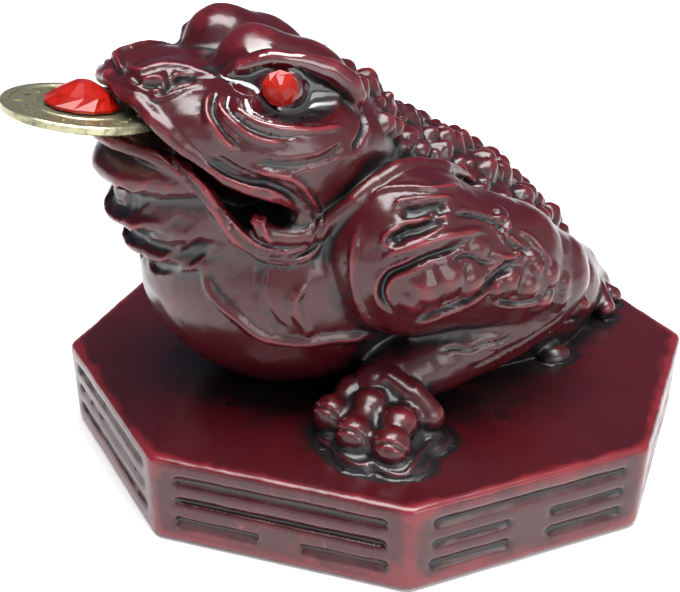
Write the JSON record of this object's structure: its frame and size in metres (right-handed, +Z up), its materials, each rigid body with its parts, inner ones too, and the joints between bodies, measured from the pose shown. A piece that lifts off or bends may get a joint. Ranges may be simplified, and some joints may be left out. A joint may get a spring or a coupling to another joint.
{
  "type": "money toad figure",
  "caption": "Cherry-red cast resin money toad on an eight-sided trigram base, with red glass stones for eyes and a brass coin with a red stone in its mouth.",
  "frame": {"origin": "middle of the underside of the base, on the surface that the figure stands on", "axes": "+Z up, the toad faces -Y, its left side is +X"},
  "size_m": [0.0996, 0.1123, 0.0748],
  "materials": {
    "cherry_resin": "cast resin in dark cherry red, glossy, black in the recesses and brighter red on worn ridges",
    "aged_brass": "pale aged brass plating, brighter on the rim",
    "red_glass": "cut red glass with an orange glow inside"
  },
  "bodies": {
    "root": {"toad_casting": "cherry_resin", "coin": "aged_brass", "coin_gem": "red_glass", "eye_gem_left": "red_glass", "eye_gem_right": "red_glass"}
  },
  "joints": []
}
